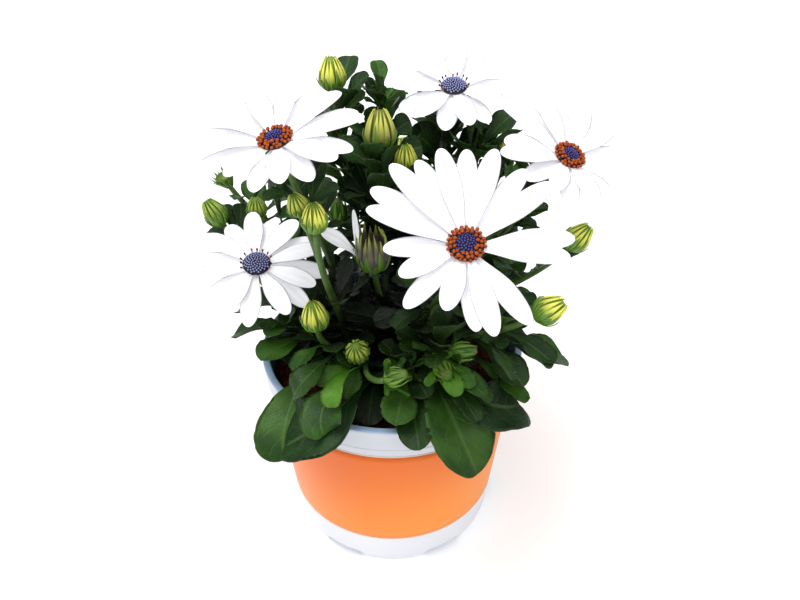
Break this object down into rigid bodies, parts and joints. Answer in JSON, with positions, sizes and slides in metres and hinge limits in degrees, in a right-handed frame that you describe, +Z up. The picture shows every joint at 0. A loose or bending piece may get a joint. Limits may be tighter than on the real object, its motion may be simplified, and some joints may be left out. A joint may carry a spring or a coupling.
{
  "type": "potted osteospermum",
  "caption": "Bushy African daisy with white blooms, blue-violet discs, ribbed buds and broad dark leaves, growing in a white plastic nursery pot with an orange band.",
  "frame": {"origin": "middle of the flat pad under the pot, on the plane that the pot stands on", "axes": "+Z up along the pot's axis; the plant's front, with the largest bloom and the leaves that spill over the rim, faces -Y; +X is to the right seen from the front"},
  "size_m": [0.1988, 0.1975, 0.2369],
  "materials": {
    "pot_plastic": "satin white injection-moulded polypropylene, bluish inside",
    "band_print": "orange printed sleeve, satin, paler towards one side",
    "peat": "loose reddish-brown peat with fibres",
    "petal": "soft white petals, faintly ribbed, grey-lilac underneath",
    "disc": "blue-violet florets with orange pollen",
    "bud": "green bracts with yellow-green ribs",
    "foliage": "dark green, slightly leathery, pale margins and midribs"
  },
  "bodies": {
    "root": {"pot": "pot_plastic", "pot_band": "band_print", "peat": "peat", "bloom_1_rays": "petal", "bloom_1_disc": "disc", "bloom_2_rays": "petal", "bloom_2_disc": "disc", "bloom_3_rays": "petal", "bloom_3_disc": "disc", "bloom_4_rays": "petal", "bloom_4_disc": "disc", "bloom_5_rays": "petal", "bloom_5_disc": "disc", "bud_01": "bud", "bud_02": "bud", "bud_03": "bud", "bud_04": "bud", "bud_05": "bud", "bud_06": "bud", "bud_07": "bud", "bud_08": "bud", "bud_09": "bud", "bud_09_rays": "petal", "bud_10": "bud", "bud_11": "bud", "bud_12": "bud", "bud_13": "bud", "bud_14": "bud", "bud_15": "bud", "bud_16": "bud", "bud_17": "bud", "bud_18": "bud", "bud_19": "bud", "shoot_01": "foliage", "shoot_02": "foliage", "shoot_03": "foliage", "shoot_04": "foliage", "shoot_05": "foliage", "shoot_06": "foliage", "shoot_07": "foliage", "shoot_08": "foliage", "shoot_09": "foliage", "shoot_10": "foliage", "shoot_11": "foliage", "shoot_12": "foliage", "shoot_13": "foliage", "shoot_14": "foliage", "shoot_15": "foliage", "shoot_16": "foliage", "shoot_17": "foliage", "shoot_18": "foliage", "shoot_19": "foliage", "shoot_20": "foliage", "shoot_21": "foliage", "shoot_22": "foliage", "shoot_23": "foliage", "shoot_24": "foliage", "shoot_25": "foliage"}
  },
  "joints": []
}
